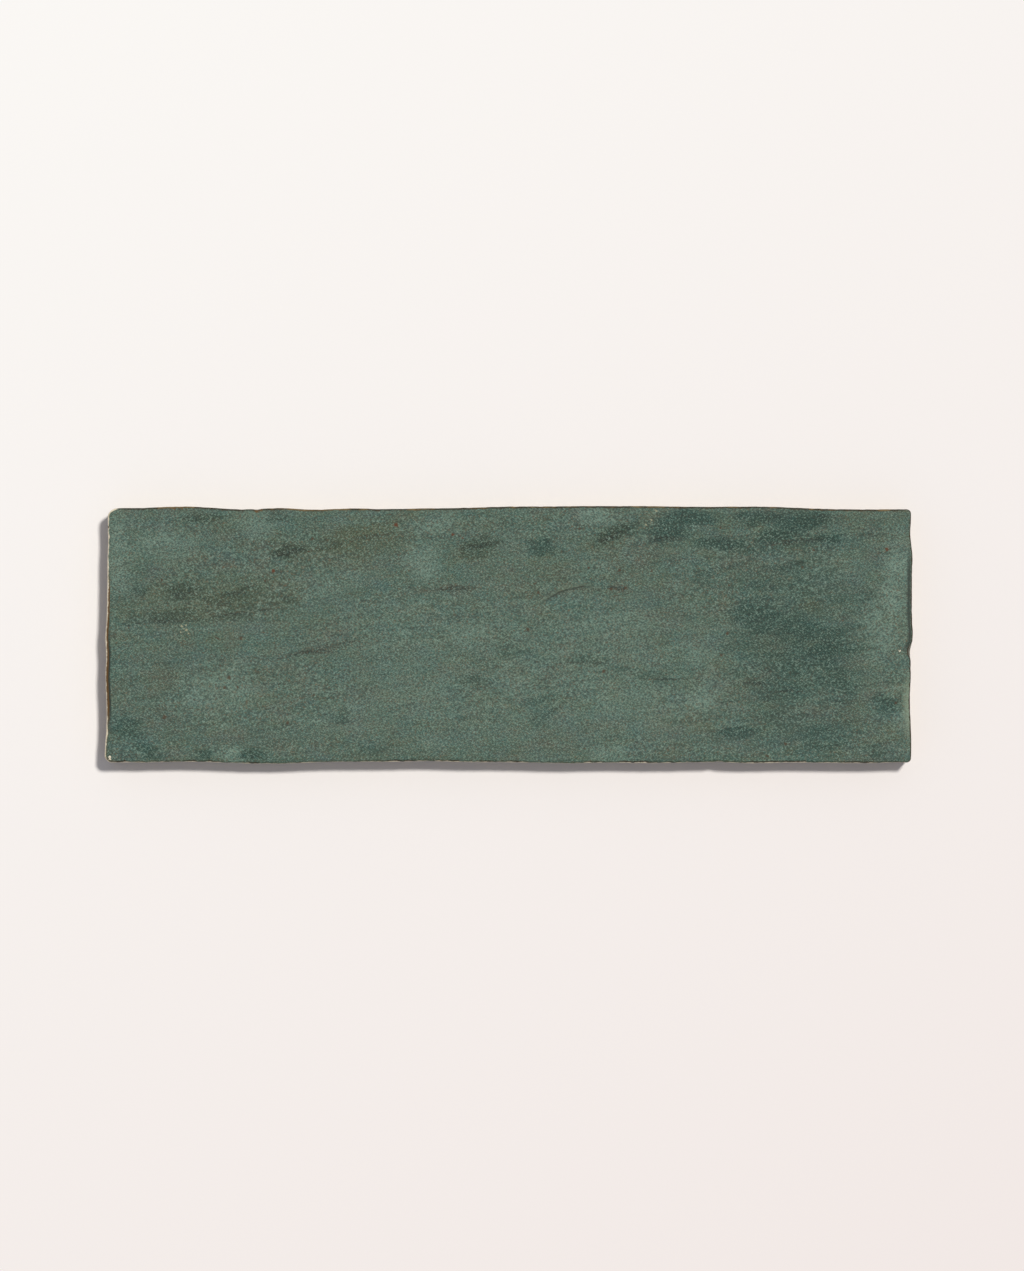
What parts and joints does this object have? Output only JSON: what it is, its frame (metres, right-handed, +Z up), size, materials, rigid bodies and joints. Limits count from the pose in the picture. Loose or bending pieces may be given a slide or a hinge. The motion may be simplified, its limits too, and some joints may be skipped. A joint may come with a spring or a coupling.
{
  "type": "glazed ceramic wall tile",
  "caption": "Slim rectangular glazed ceramic wall tile with wandering hand-pressed edges, a rounded arris, a gently hollowed green face and keying grooves on its back.",
  "frame": {"origin": "middle of the tile's back, on the plane that it lies on", "axes": "+X along the tile's length, +Y across its width, +Z up out of the glazed face"},
  "size_m": [0.2018, 0.0644, 0.0086],
  "materials": {
    "glaze": "satin mottled green glaze over a buff fired clay body"
  },
  "bodies": {
    "root": {"tile": "glaze"}
  },
  "joints": []
}
